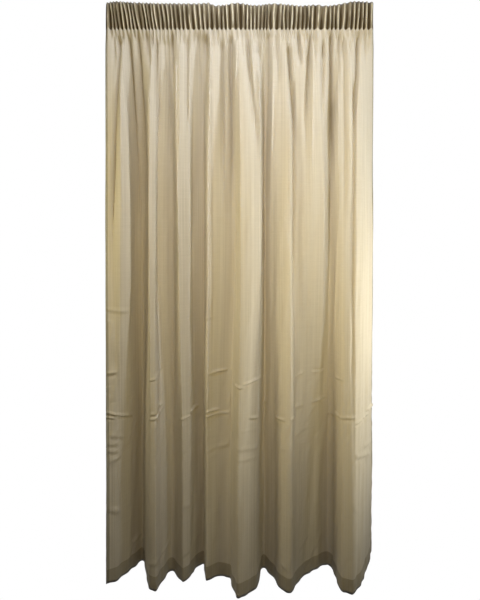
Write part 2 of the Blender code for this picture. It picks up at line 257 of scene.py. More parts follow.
# Rows turned back at the heading and at the hem, columns turned back at the left and at the right, and
# how far a layer lies behind the one before it
HEADING_TURN_ROWS = 2
HEM_RETURN_ROWS = 5
SIDE_HEM_COLUMNS = (3, 2)
LAYER_GAP = 0.0008

# Each pleat's own share of the depth, the length over which it dies out under the heading, and how far
# at most its middle bends and its top tilts to a side
PLEAT_SEED = 11
PLEAT_DEPTH_SPREAD = (0.82, 1.08)
PLEAT_REACH_SPREAD = (0.035, 0.110)
PLEAT_BEND = 0.0020
PLEAT_TILT = 0.0022

# Packing creases, each a low soft ridge on the cloth with a shallow trough under it. flat and drop:
# where each end lies. height: how far it stands out. half_width: of the ridge, across it.
CREASES = (
    # flat_start, flat_end, drop_start, drop_end, height, half_width
    (0.012, 0.060, 0.631, 0.632, -0.0028, 0.0035),
    (0.655, 0.800, 0.670, 0.671, -0.0026, 0.0030),
    (0.806, 0.912, 0.670, 0.671, -0.0022, 0.0030),
    (0.010, 0.078, 0.970, 0.974, 0.0034, 0.0040),
    (0.078, 0.098, 0.983, 0.985, 0.0026, 0.0035),
    (0.632, 0.672, 0.999, 0.997, 0.0030, 0.0035),
    (0.006, 0.034, 1.006, 1.012, 0.0034, 0.0050),
    (0.006, 0.040, 1.056, 1.066, 0.0040, 0.0050),
    (0.020, 0.058, 1.092, 1.086, 0.0030, 0.0060),
    (0.008, 0.052, 1.128, 1.118, 0.0038, 0.0055),
    (0.286, 0.346, 1.186, 1.172, 0.0028, 0.0036),
    (0.318, 0.366, 1.172, 1.160, 0.0030, 0.0036),
    (0.660, 0.712, 1.176, 1.168, 0.0050, 0.0036),
    (0.786, 0.836, 1.200, 1.197, 0.0044, 0.0036),
    (0.836, 0.914, 1.190, 1.178, 0.0050, 0.0036),
    (1.150, 1.186, 1.180, 1.172, 0.0040, 0.0034),
    (1.232, 1.284, 1.166, 1.168, -0.0034, 0.0036),
    (1.362, 1.422, 1.189, 1.183, 0.0028, 0.0036),
    (0.006, 0.038, 1.170, 1.166, 0.0030, 0.0055),
    (0.002, 0.034, 1.214, 1.226, 0.0048, 0.0048),
    (0.016, 0.056, 1.252, 1.246, 0.0028, 0.0055),
    (0.000, 0.076, 1.292, 1.314, 0.0046, 0.0040),
    (0.002, 0.026, 1.308, 1.311, 0.0038, 0.0032),
    (0.084, 0.106, 1.318, 1.324, 0.0030, 0.0035),
    (0.286, 0.352, 1.306, 1.296, 0.0028, 0.0036),
    (0.302, 0.362, 1.288, 1.274, 0.0026, 0.0036),
    (0.460, 0.502, 1.318, 1.309, 0.0044, 0.0034),
    (0.494, 0.556, 1.300, 1.300, 0.0050, 0.0036),
    (0.644, 0.690, 1.296, 1.294, 0.0050, 0.0036),
    (0.640, 0.720, 1.311, 1.304, 0.0044, 0.0034),
    (0.866, 0.902, 1.296, 1.300, 0.0038, 0.0036),
    (0.830, 0.908, 1.330, 1.336, 0.0009, 0.0050),
    (0.952, 1.000, 1.300, 1.278, 0.0036, 0.0040),
    (1.048, 1.096, 1.308, 1.306, 0.0046, 0.0038),
    (1.120, 1.142, 1.300, 1.302, 0.0034, 0.0034),
    (1.150, 1.192, 1.274, 1.276, 0.0036, 0.0036),
    (1.236, 1.290, 1.272, 1.266, 0.0040, 0.0036),
    (1.308, 1.350, 1.322, 1.313, 0.0028, 0.0034),
    (1.356, 1.476, 1.304, 1.296, 0.0036, 0.0040),
    (1.484, 1.540, 1.318, 1.316, 0.0042, 0.0038),
    (1.534, 1.596, 1.316, 1.322, 0.0048, 0.0038),
    (1.586, 1.676, 1.308, 1.322, 0.0064, 0.0040),
    (0.012, 0.064, 1.364, 1.380, 0.0026, 0.0060),
    (0.004, 0.040, 1.392, 1.398, 0.0028, 0.0052),
    (0.006, 0.042, 1.414, 1.422, 0.0034, 0.0052),
    (0.010, 0.056, 1.448, 1.440, 0.0026, 0.0060),
    (0.468, 0.492, 1.418, 1.420, 0.0024, 0.0045),
    (0.640, 0.730, 1.424, 1.404, 0.0022, 0.0045),
    (0.812, 0.904, 1.384, 1.392, 0.0024, 0.0046),
    (0.812, 0.892, 1.416, 1.422, 0.0027, 0.0042),
    (1.070, 1.120, 1.400, 1.392, 0.0020, 0.0050),
    (1.150, 1.214, 1.362, 1.352, 0.0026, 0.0052),
    (1.160, 1.206, 1.392, 1.402, 0.0022, 0.0050),
    (1.550, 1.660, 1.412, 1.440, 0.0040, 0.0056),
    (1.482, 1.640, 1.418, 1.470, 0.0050, 0.0056),
    (0.006, 0.040, 1.494, 1.504, 0.0034, 0.0075),
    (0.018, 0.066, 1.548, 1.536, 0.0028, 0.0080),
    (0.010, 0.046, 1.604, 1.612, 0.0046, 0.0068),
    (0.016, 0.062, 1.640, 1.630, 0.0032, 0.0075),
    (0.004, 0.040, 1.690, 1.702, 0.0034, 0.0070),
    (0.462, 0.496, 1.592, 1.596, 0.0026, 0.0055),
    (1.462, 1.500, 1.576, 1.590, 0.0026, 0.0056),
    (1.520, 1.600, 1.640, 1.640, 0.0016, 0.0070),
    (0.104, 0.168, 1.750, 1.736, 0.0030, 0.0050),
    (0.122, 0.186, 1.766, 1.752, 0.0024, 0.0048),
    (0.268, 0.344, 1.760, 1.738, 0.0032, 0.0052),
    (0.344, 0.392, 1.744, 1.732, 0.0032, 0.0048),
    (0.468, 0.530, 1.748, 1.738, 0.0024, 0.0052),
    (0.830, 0.900, 1.690, 1.702, 0.0014, 0.0080),
    (1.180, 1.216, 1.720, 1.716, 0.0036, 0.0050),
    (1.076, 1.112, 1.750, 1.762, 0.0030, 0.0052),
)

# The trough under a crease: its share of the ridge's height, and its place in the ridge's half widths.
# A crease fades over CREASE_END to both sides of each end.
TROUGH_SHARE = 0.55
TROUGH_PLACE = 1.9
CREASE_END = 0.010

# Slow unevenness of the hanging cloth: size, waves across the flat width, waves down the drop, start
SWELLS = (
    (0.0016, 17.0, 1.3, 0.3),
    (0.0011, 29.0, 2.1, 1.7),
    (0.0008, 41.0, 3.2, 4.1),
    (0.0004, 63.0, 9.0, 2.6),
)

# Short soft swellings of the lower cloth, where it was folded away: in the same columns
SOFT_CREASES = (
    (0.0009, 21.0, 13.7, 0.9),
    (0.0006, 34.0, 21.3, 2.2),
    (0.0004, 53.0, 31.1, 4.4),
)
SOFT_CREASE_DROPS = (0.95, 1.35)

# Heading tape, sewn behind the pleats: drop of each gathering cord along it and how far it bulges.
# The tape lies TAPE_LAYERS layer gaps behind the face of the cloth.
TAPE_START = 0.0020
TAPE_LAYERS = 2.5
TAPE_THICKNESS = 0.0008
TAPE_ROWS = 24
CORD_DROPS = (0.012, 0.041, 0.070)
CORD_BULGE = 0.0009
CORD_HALF_WIDTH = 0.0022

# Machine stitching. On the bottom hem it runs STITCH_INSET under the turned cloth's upper edge
STITCH_INSET = 0.002
STITCH_PITCH = 0.0042
STITCH_LENGTH = 0.0030
STITCH_WIDTH = 0.0005
STITCH_LIFT = 0.0004
STITCH_SIDES = 4

# Colours, as linear values
PALE_YARN = (0.640, 0.585, 0.475, 1.0)
DARK_YARN = (0.480, 0.425, 0.328, 1.0)
# Painted shade: these tints darken the doubled bottom hem and the side hems, for the light from behind that
# the doubled cloth holds back
DOUBLED_SHADE_TINT = (0.72, 0.69, 0.63, 1.0)
SIDE_HEM_SHADE_TINT = (0.62, 0.64, 0.62, 1.0)
TAPE_PALE = (0.200, 0.160, 0.090, 1.0)
TAPE_DARK = (0.100, 0.075, 0.038, 1.0)
# Painted shade: the warm darker tint of the cloth in the gathers' troughs
GATHER_SHADE_TINT = (0.66, 0.61, 0.52, 1.0)
THREAD = (0.560, 0.480, 0.330, 1.0)
WHITE = (1.0, 1.0, 1.0, 1.0)
BLACK = (0.0, 0.0, 0.0, 1.0)

# The heading's painted colours from the pleats' valleys to their ridges, each with its place from 0 to 1:
# painted shade in the valleys, a dark middle painted for the light from behind that the doubled cloth and
# tape hold back, and a painted highlight on the ridges
HEADING_SHADE_RAMP = (
    (0.20, (0.066, 0.042, 0.013, 1.0)),
    (0.50, (0.250, 0.202, 0.124, 1.0)),
    (0.86, (0.250, 0.202, 0.124, 1.0)),
    (1.00, (0.700, 0.620, 0.450, 1.0)),
)

# The light that the cloth lets through: its tint and its share
GLOW_TINT = (1.00, 0.93, 0.78, 1.0)
SHEERNESS = 0.12

# Roughness and sheen of each material, and what they have in common
CLOTH_FINISH = (0.80, 0.05)
TAPE_FINISH = (0.85, 0.15)
THREAD_FINISH = (0.6, 0.1)
SPECULAR = 0.25
SHEEN_ROUGHNESS = 0.45

# The cloth's yarns, as noise: upright stripes from fine to broad, cross threads and slubs
YARNS = (
    # grains to the metre across and down, detail, share
    (560.0, 2.2, 2.0, 0.95),
    (190.0, 0.7, 2.0, 0.60),
    (46.0, 0.5, 2.0, 0.20),
    (7.0, 430.0, 2.0, 0.28),
    (30.0, 700.0, 0.0, 0.16),
)
TAPE_CROSS_YARN = (900.0, 60.0)
TAPE_LONG_YARN = (40.0, 1100.0)
YARN_DETAIL = 2.0

# Strength and distance of the bump that the yarns give
CLOTH_BUMP = (0.35, 0.0006)
TAPE_BUMP = (0.4, 0.0006)

# Brightness that a yarn or a thread's twist gives its colour: a share of the noise, and the rest
PLEAT_YARN_SHADE = (0.7, 0.65)
THREAD_SHADE = (0.5, 0.75)
THREAD_TWIST = 900.0

# The edges of the hems' painted shade change over HEM_SOFTNESS. The heading's painted shade and highlight end
# SCALLOP lower in the valleys than on the ridges, at VALLEY_END, and change over VALLEY_SOFTNESS.
HEM_SOFTNESS = 0.0006
SCALLOP = 0.0045
VALLEY_END = HEADING_HEIGHT + 0.001
VALLEY_SOFTNESS = 0.0012

# Unevenness of the pleats' colour: grains to the metre of cloth across and down, and its share
PLEAT_MOTTLE = (45.0, 9.0)
PLEAT_MOTTLE_SHARE = 0.85

# The painted shade in the pleats' valleys is lighter toward the top: the drop where it is full, and how much
# lighter it grows to the metre above it
VALLEY_FADE_DROP = 0.050
VALLEY_FADE = 7.0

# Sockets of the node that mixes two colours
MIX_FIRST = 6
MIX_SECOND = 7
MIX_OUTCOME = 2

# Camera, stage and light
CAMERA_PLACE = (0.0, -1.45, -0.675)
CAMERA_LENS = 27.36
CAMERA_SENSOR = 36.0
CAMERA_SHIFT = -0.14
FLOOR_DROP = 1.95
FLOOR_SIZE = 14.0
FILL_COLOUR = (1.0, 0.85, 0.60, 1.0)
FILL_STRENGTH = 0.02

# Soft lights: a cool one and a low warm one behind the cloth, one in front, two from above, three from
# the right and one from the left
LIGHTS = (
    # name, place, aim, energy, size, spread in degrees, colour
    ("window", (0.60, 0.80, -0.30), (0.40, 0.0, -0.30), 23.0, (0.80, 0.80), 180, (0.86, 0.89, 1.00)),
    ("window low", (0.60, 0.80, -1.10), (0.40, 0.0, -1.00), 2.8, (0.50, 0.50), 90, (1.00, 0.87, 0.50)),
    ("front", (0.00, -1.35, -0.60), (0.00, 0.0, -0.55), 4.1, (0.35, 0.35), 140, (1.00, 0.80, 0.40)),
    ("upper", (0.00, -0.60, 0.60), (0.00, 0.0, -0.30), 2.8, (0.30, 0.30), 180, (1.00, 0.95, 0.76)),
    ("upper beam", (0.00, -0.60, 0.60), (0.00, 0.0, -0.30), 2.5, (0.30, 0.30), 90, (0.64, 0.73, 1.00)),
    ("right front", (1.00, -1.35, -0.60), (0.30, 0.0, -0.50), 3.8, (0.35, 0.35), 140, (1.00, 0.95, 0.64)),
    ("right far", (2.15, -1.25, 0.10), (0.00, 0.0, -0.30), 4.1, (0.25, 0.35), 60, (0.80, 0.86, 1.00)),
    ("side", (1.60, 0.00, -1.10), (0.20, 0.0, -0.97), 4.2, (0.25, 0.35), 80, (0.98, 0.95, 0.84)),
    ("left", (-1.30, -0.50, -0.40), (-0.10, 0.0, -0.80), 2.3, (0.40, 0.60), 80, (1.00, 0.90, 0.58)),
)


def column(table, place):
    """One column of a table as an array."""
    return np.array([row[place] for row in table], dtype=float)


def level_curve(knots, values, at, crease=0.0):
    """A line through the values, level at every crest, that bends more sharply where it is creased."""
    step = np.diff(knots)
    rise = np.diff(values) / step
    slope = np.zeros(len(knots))
    for k in range(1, len(knots) - 1):
        if rise[k - 1] * rise[k] > 0:
            slope[k] = 2 * rise[k - 1] * rise[k] / (rise[k - 1] + rise[k])
    slope[0] = rise[0]
    slope[-1] = rise[-1]
    before = slope + crease * (np.append(rise[0], rise) - slope)
    after = slope + crease * (np.append(rise, rise[-1]) - slope)
    k = np.clip(np.searchsorted(knots, at, side="right") - 1, 0, len(step) - 1)
    u = (at - knots[k]) / step[k]
    low = values[k] * (1 + 2 * u) * (1 - u) ** 2
    high = values[k + 1] * u * u * (3 - 2 * u)
    bend = step[k] * u * (1 - u) * (after[k] * (1 - u) - before[k + 1] * u)
    return low + high + bend


def fold_curve(place, flat, crease_share=1.0):
    """One of the fold table's columns as a line across the flat cloth."""
    crease = crease_share * column(FOLDS, CREASE)
    return level_curve(column(FOLDS, FLAT), column(FOLDS, place), flat, crease)


def ease(value, start, end):
    """Rises smoothly from 0 at start to 1 at end."""
    u = np.clip((value - start) / (end - start), 0.0, 1.0)
    return u * u * (3 - 2 * u)


def swell(value, start, end):
    """Grows fast from 0 at start and levels out to 1 at end."""
    u = np.clip((value - start) / (end - start), 0.0, 1.0)
    return u * (2 - u)


def pleat_columns():
    """The sheet's columns, as a table of arrays: each one's place in the heading and in the folds."""
    phase = np.arange(PLEATS * COLUMNS_PER_PLEAT + 1) / COLUMNS_PER_PLEAT
    along = phase / PLEATS
    place = phase.copy()
    for size, waves, start in PITCH_SWAY:
        turn = 2 * math.pi * waves
        place += size * PLEATS / turn * (np.sin(turn * along + start) - math.sin(start))
    for centre, extra in WIDE_PLEATS:
        spread = (phase - centre * PLEATS) / WIDE_PLEAT_REACH
        place += extra * WIDE_PLEAT_REACH * np.tanh(spread)
    left = FOLDS[0][HEAD_X]
    right = FOLDS[-1][HEAD_X]
    head_x = left + (right - left) * (place - place[0]) / (place[-1] - place[0])
    flat = level_curve(column(FOLDS, HEAD_X), column(FOLDS, FLAT), head_x)
    chance = np.random.default_rng(PLEAT_SEED)
    own = np.arange(PLEATS + 2) - 0.5
    depth = chance.uniform(*PLEAT_DEPTH_SPREAD, len(own))
    reach = chance.uniform(*PLEAT_REACH_SPREAD, len(own))
    bend = chance.uniform(-1.0, 1.0, len(own))
    tilt = chance.uniform(-1.0, 1.0, len(own))
    return {
        "head_x": head_x,
        "flat": flat,
        "ridge": 0.5 - 0.5 * np.cos(2 * math.pi * phase),
        "depth": PLEAT_DEPTH * np.interp(phase, own, depth),
        "reach": np.interp(phase, own, reach),
        "bend": PLEAT_BEND * np.interp(phase, own, bend),
        "tilt": PLEAT_TILT * np.interp(phase, own, tilt),
        "mid_x": fold_curve(MID_X, flat),
        "mid_y": fold_curve(MID_Y, flat),
        "hem_x": fold_curve(HEM_X, flat, HEM_CREASE_SHARE),
        "hem_y": fold_curve(HEM_Y, flat, HEM_CREASE_SHARE),
        "lean": level_curve(column(PLEAT_LEAN, 0), column(PLEAT_LEAN, 1), head_x),
        "rise": level_curve(column(TOP_EDGE, 0), column(TOP_EDGE, 1), head_x),
    }


def gather_depth(x, drop):
    """How far the small gathers and the nips push the cloth back at one drop."""
    depth = np.zeros_like(x)
    for top_x, end_x, size, half_width, start, reach in GATHERS + NIPS:
        share = np.clip((drop - start) / (reach - start), 0.0, 1.0)
        line = top_x + (end_x - top_x) * share
        rise = ease(drop, start, start + GATHER_RISE)
        fade = 1 - ease(share, GATHER_HOLD, 1.0)
        side = half_width * np.where(x < line, GATHER_SOFT_SIDE, GATHER_STEEP_SIDE)
        depth += size * rise * fade * np.exp(-(np.abs(x - line) / side) ** GATHER_POWER)
    return depth


def crease_relief(flat, drop):
    """How far the packing creases stand out from the cloth at one drop."""
    relief = np.zeros_like(flat)
    for flat_start, flat_end, drop_start, drop_end, height, half_width in CREASES:
        share = (flat - flat_start) / (flat_end - flat_start)
        ends = ease(flat, flat_start - CREASE_END, flat_start + CREASE_END)
        ends = ends * (1 - ease(flat, flat_end - CREASE_END, flat_end + CREASE_END))
        across = (drop - drop_start - (drop_end - drop_start) * share) / half_width
        ridge = np.exp(-across ** 2)
        trough = TROUGH_SHARE * np.exp(-(across - TROUGH_PLACE) ** 2)
        relief += height * ends * (ridge - trough)
    return relief


def waves(table, flat, drop):
    """The sum at one drop of a table's waves: size, waves across the flat width and down the drop, start."""
    relief = np.zeros_like(flat)
    for size, across, down, start in table:
        turn = 2 * math.pi * (across * flat / FLAT_WIDTH + down * drop / DROP)
        relief += size * np.sin(turn + start) * np.cos(2 * math.pi * down * drop / DROP + 2 * start)
    return relief


def swell_relief(flat, drop):
    """The slow unevenness of the hanging cloth at one drop."""
    slow = waves(SWELLS, flat, drop) * ease(drop, HEADING_HEIGHT, MID_DROP)
    return slow + waves(SOFT_CREASES, flat, drop) * ease(drop, *SOFT_CREASE_DROPS)


def hang(drop, at):
    """Where the main folds hold the cloth across one drop."""
    near = swell(drop, HEADING_HEIGHT, MID_DROP)
    far = ease(drop, MID_DROP, HEM_SHAPE_DROP)
    x = at["head_x"] + near * (at["mid_x"] - at["head_x"]) + far * (at["hem_x"] - at["mid_x"])
    y = near * at["mid_y"] + far * (at["hem_y"] - at["mid_y"])
    return x, y


def cloth_row(drop, at):
    """Points of the cloth across one drop, with its pleats, its gathers and its relief."""
    above = max(1 - drop / HEADING_HEIGHT, 0.0)
    pleat = 1 - ease(drop, HEADING_HEIGHT, HEADING_HEIGHT + at["reach"])
    x, y = hang(drop, at)
    x = x + above * (at["lean"] + at["tilt"]) + at["bend"] * math.sin(math.pi * above)
    y = y + gather_depth(x, drop) + pleat * at["depth"] * (0.5 - at["ridge"])
    z = above * at["rise"] - drop
    relief = crease_relief(at["flat"], drop) + swell_relief(at["flat"], drop)
    side = np.gradient(x)
    back = np.gradient(y)
    length = np.hypot(side, back)
    return np.stack([x + relief * back / length, y - relief * side / length, z + 0 * x], axis=1)


def gather_shading(drop, at):
    """Painted shade in the troughs of the gathers and nips across one drop, from 0 to 1, darker where they
    are deeper.
    """
    x, _ = hang(drop, at)
    return np.clip(gather_depth(x, drop) / GATHER_SHADE_DEPTH, 0.0, 1.0) ** 2


def row_drops():
    """Drops of the sheet's rows, closer together where there is small relief."""
    drops = [0.0]
    for start, end, spacing in ROW_RUNS:
        count = max(round((end - start) / spacing), 1)
        drops += [start + (end - start) * (k + 1) / count for k in range(count)]
    return np.array(drops)


def turned(count, near, far):
    """Order of the rows or columns with both ends turned back, and the layer that each lies in."""
    first = list(range(near, 0, -1))
    last = list(range(count - 2, count - 2 - far, -1))
    layers = [1] * len(first) + [0] * count + [1] * len(last)
    return np.array(first + list(range(count)) + last), np.array(layers)


def unfold(values, layers, end):
    """Places along the flat cloth, with those turned back carried on past its first or last edge."""
    first_half = np.arange(len(values)) < len(values) // 2
    beyond = np.where(first_half, -values, 2 * end - values)
    return np.where(layers == 1, beyond, values)


def cloth_grid(points, drops, at):
    """The panel with its hems turned back: points, place on the flat cloth, ridges and the gathers' painted
    shade.
    """
    rows, row_layer = turned(len(drops), HEADING_TURN_ROWS, HEM_RETURN_ROWS)
    cols, col_layer = turned(len(at["flat"]), *SIDE_HEM_COLUMNS)
    grid = points[np.ix_(rows, cols)]
    grid[..., 1] += LAYER_GAP * (row_layer[:, None] + col_layer[None, :])
    across = unfold(at["flat"][cols], col_layer, FLAT_WIDTH)
    down = unfold(drops[rows], row_layer, DROP)
    gather_shade = np.array([gather_shading(drop, at) for drop in drops])[np.ix_(rows, cols)]
    return grid, across, down, at["ridge"][cols], gather_shade


def mesh_object(name, bm):
    """An object in the scene from a finished mesh."""
    mesh = bpy.data.meshes.new(name)
    bm.to_mesh(mesh)
    bm.free()
    item = bpy.data.objects.new(name, mesh)
    bpy.context.scene.collection.objects.link(item)
    return item


def grid_mesh(name, grid, across, down, ridge, gather_shade):
    """A mesh of the grid that keeps each point's place on the flat cloth, and the gathers' painted shade, for
    its material.
    """
    count_down, count_across = grid.shape[:2]
    bm = bmesh.new()
    bmesh.ops.create_grid(bm, x_segments=count_across - 1, y_segments=count_down - 1, size=0.5)
    item = mesh_object(name, bm)
    mesh = item.data
    spots = np.empty(3 * len(mesh.vertices), dtype=np.float32)
    mesh.vertices.foreach_get("co", spots)
    spots = spots.reshape(-1, 3)
    k = np.rint((spots[:, 0] + 0.5) * (count_across - 1)).astype(int)
    r = np.rint((0.5 - spots[:, 1]) * (count_down - 1)).astype(int)
    mesh.vertices.foreach_set("co", grid[r, k].ravel())
    flat = np.stack([across[k], down[r], ridge[k]], axis=1)
    place = mesh.attributes.new("flat_place", "FLOAT_VECTOR", "POINT")
    place.data.foreach_set("vector", flat.ravel())
    gather_shade_layer = mesh.attributes.new("gather_shade", "FLOAT", "POINT")
    gather_shade_layer.data.foreach_set("value", gather_shade[r, k].ravel())
    corners = np.empty(len(mesh.loops), dtype=np.int32)
    mesh.loops.foreach_get("vertex_index", corners)
    size = np.array([np.ptp(across), np.ptp(down)])
    low = np.array([across.min(), down.min()])
    uv = (flat[:, :2] - low) / size
    uv[:, 1] = 1 - uv[:, 1]
    layer = mesh.uv_layers.new(name="OFBake")
    layer.data.foreach_set("uv", uv[corners].ravel())
    mesh.shade_smooth()
    mesh.update()
    return item


def node(tree, kind, feeds=(), **settings):
    """A new node with its settings made and its inputs fed by sockets or plain values."""
    made = tree.nodes.new(kind)
    for key, value in settings.items():
        setattr(made, key, value)
    for place, feed in dict(feeds).items():
        if isinstance(feed, bpy.types.NodeSocket):
            tree.links.new(feed, made.inputs[place])
        else:
            made.inputs[place].default_value = feed
    return made


def maths(tree, operation, first, second=0.0):
    """The outcome of one sum."""
    return node(tree, "ShaderNodeMath", {0: first, 1: second}, operation=operation).outputs[0]


def blend(tree, factor, first, second, kind="MIX"):
    """Two colours mixed."""
    feeds = {0: factor, MIX_FIRST: first, MIX_SECOND: second}
    made = node(tree, "ShaderNodeMix", feeds, data_type="RGBA", blend_type=kind)
    return made.outputs[MIX_OUTCOME]


def noise(tree, place, scale, detail=YARN_DETAIL):
    """Noise drawn out along the cloth: scale gives its grains to the metre each way."""
    stretched = node(tree, "ShaderNodeVectorMath", {0: place, 1: (*scale, 0.0)}, operation="MULTIPLY")
    made = node(
        tree,
        "ShaderNodeTexNoise",
        {"Vector": stretched.outputs[0], "Scale": 1.0, "Detail": detail},
        noise_dimensions="2D",
    )
    return made.outputs[0]


def step_at(tree, value, edge, soft):
    """0 under the edge and 1 over it, with a soft change."""
    made = node(
        tree,
        "ShaderNodeMapRange",
        {"Value": value, "From Min": edge - soft, "From Max": edge + soft},
        interpolation_type="SMOOTHSTEP",
    )
    return made.outputs[0]


def new_material(name, roughness, sheen):
    """A material with a Principled shader, and its tree and shader."""
    material = bpy.data.materials.new(name)
    material.use_nodes = True
    tree = material.node_tree
    shader = tree.nodes["Principled BSDF"]
    shader.inputs["Roughness"].default_value = roughness
    shader.inputs["Specular IOR Level"].default_value = SPECULAR
    shader.inputs["Sheen Weight"].default_value = sheen
    shader.inputs["Sheen Roughness"].default_value = SHEEN_ROUGHNESS
    return material, tree, shader


def weave(tree, flat):
    """Brightness of the cloth's yarns, about 0.5."""
    total = 0.5
    for across, down, detail, share in YARNS:
        centred = maths(tree, "SUBTRACT", noise(tree, flat, (across, down), detail), 0.5)
        total = maths(tree, "ADD", maths(tree, "MULTIPLY", centred, share), total)
    return total


def shaded(tree, colour, level, shade):
    """A colour with its brightness set by a level: a share of it, and the rest."""
    share, rest = shade
    brightness = maths(tree, "ADD", maths(tree, "MULTIPLY", level, share), rest)
    return blend(tree, 1.0, colour, brightness, "MULTIPLY")


def add_bump(tree, shader, height, bump):
    """Low relief of the yarns on a shader."""
    strength, distance = bump
    made = node(tree, "ShaderNodeBump", {"Height": height, "Strength": strength, "Distance": distance})
    tree.links.new(made.outputs[0], shader.inputs["Normal"])


def heading_shade_colour(tree, ridge, down, mottle):
    """Painted shade in the heading's pleat valleys and painted highlight on their ridges, uneven and with the
    valleys lighter toward the top.
    """
    uneven = maths(tree, "MULTIPLY", maths(tree, "SUBTRACT", mottle, 0.5), PLEAT_MOTTLE_SHARE)
    lighter = maths(tree, "MULTIPLY", maths(tree, "SUBTRACT", VALLEY_FADE_DROP, down), VALLEY_FADE)
    lighter = maths(tree, "MULTIPLY", lighter, maths(tree, "SUBTRACT", 1.0, ridge))
    level = maths(tree, "ADD", maths(tree, "ADD", ridge, uneven), lighter)
    ramp = node(tree, "ShaderNodeValToRGB", {0: level})
    stops = ramp.color_ramp.elements
    stops[0].position, stops[0].color = HEADING_SHADE_RAMP[0]
    stops[1].position, stops[1].color = HEADING_SHADE_RAMP[-1]
    for place, colour in HEADING_SHADE_RAMP[1:-1]:
        stops.new(place).color = colour
    return ramp.outputs[0]


def cloth_material(side_hem):
    """Semi-sheer striped voile, with painted shade where it is doubled at the hems and in the gathers'
    troughs, and painted shade and highlight in the heading's pleats.
    """
    material, tree, shader = new_material("sheer_weave", *CLOTH_FINISH)
    flat = node(tree, "ShaderNodeAttribute", attribute_name="flat_place").outputs["Vector"]
    across, down, ridge = node(tree, "ShaderNodeSeparateXYZ", {0: flat}).outputs
    yarn = weave(tree, flat)
    colour = blend(tree, yarn, DARK_YARN, PALE_YARN)

    # Painted shade: the doubled bottom hem and the side hems are darker, for the light from behind that they
    # hold back
    hem_shade_mask = step_at(tree, down, DROP - HEM_HEIGHT, HEM_SOFTNESS)
    colour = blend(tree, hem_shade_mask, colour, DOUBLED_SHADE_TINT, "MULTIPLY")
    middle = maths(tree, "SUBTRACT", across, FLAT_WIDTH / 2)
    from_edge = maths(tree, "SUBTRACT", FLAT_WIDTH / 2, maths(tree, "ABSOLUTE", middle))
    side_hem_shade_mask = maths(tree, "SUBTRACT", 1.0, step_at(tree, from_edge, side_hem, HEM_SOFTNESS))
    colour = blend(tree, side_hem_shade_mask, colour, SIDE_HEM_SHADE_TINT, "MULTIPLY")
    # Painted shade: the cloth darkens toward a warm tint in the gathers' troughs, more where they are deeper
    gather_shade = node(tree, "ShaderNodeAttribute", attribute_name="gather_shade").outputs["Fac"]
    colour = blend(tree, gather_shade, colour, GATHER_SHADE_TINT, "MULTIPLY")

    # Painted shade and highlight in the heading: dark pleat valleys and pale ridges, on a heading darkened
    # for the light from behind that the doubled cloth and tape hold back
    pleats = heading_shade_colour(tree, ridge, down, noise(tree, flat, PLEAT_MOTTLE))
    pleats = shaded(tree, pleats, yarn, PLEAT_YARN_SHADE)
    scallop = maths(tree, "ADD", down, maths(tree, "MULTIPLY", ridge, SCALLOP))
    under_heading = step_at(tree, scallop, VALLEY_END, VALLEY_SOFTNESS)
    colour = blend(tree, under_heading, pleats, colour)

    tree.links.new(colour, shader.inputs["Base Color"])
    add_bump(tree, shader, yarn, CLOTH_BUMP)
    tint = blend(tree, 1.0, colour, GLOW_TINT, "MULTIPLY")
    glow = node(tree, "ShaderNodeBsdfTranslucent", {"Color": tint})
    both = node(tree, "ShaderNodeMixShader", {0: SHEERNESS, 1: shader.outputs[0], 2: glow.outputs[0]})
    tree.links.new(both.outputs[0], tree.nodes["Material Output"].inputs["Surface"])
    return material


def tape_material():
    """Dark woven gathering tape."""
    material, tree, shader = new_material("tape_weave", *TAPE_FINISH)
    flat = node(tree, "ShaderNodeAttribute", attribute_name="flat_place").outputs["Vector"]
    cross = noise(tree, flat, TAPE_CROSS_YARN)
    along = noise(tree, flat, TAPE_LONG_YARN)
    mixed = maths(tree, "MULTIPLY", maths(tree, "ADD", cross, along), 0.5)
    colour = blend(tree, mixed, TAPE_DARK, TAPE_PALE)
    tree.links.new(colour, shader.inputs["Base Color"])
    add_bump(tree, shader, mixed, TAPE_BUMP)
    return material


def thread_material():
    """Twisted sewing thread."""
    material, tree, shader = new_material("sewing_thread", *THREAD_FINISH)
    place = node(tree, "ShaderNodeTexCoord").outputs["Object"]
    twist = node(tree, "ShaderNodeTexNoise", {"Vector": place, "Scale": THREAD_TWIST})
    colour = shaded(tree, THREAD, twist.outputs[0], THREAD_SHADE)
    tree.links.new(colour, shader.inputs["Base Color"])
    return material


def make_tape(at):
    """The gathering tape behind the heading, pleated with the cloth."""
    drops = np.linspace(TAPE_START, HEADING_HEIGHT - TAPE_START, TAPE_ROWS)
    front = np.array([cloth_row(drop, at) for drop in drops])
    front[..., 1] += TAPE_LAYERS * LAYER_GAP
    bulge = sum(np.exp(-((drops - cord) / CORD_HALF_WIDTH) ** 2) for cord in CORD_DROPS)
    back = front[::-1].copy()
    back[..., 1] += TAPE_THICKNESS + CORD_BULGE * bulge[::-1][:, None]
    grid = np.concatenate([front[[0, -1]], back, front[[0]]])
    down = np.concatenate([drops[[0, -1]], 2 * drops[-1] - drops[::-1] + TAPE_THICKNESS, drops[[0]]])
    item = grid_mesh("tape", grid, at["flat"], down, at["ridge"], np.zeros(grid.shape[:2]))
    item.data.materials.append(tape_material())
    return item


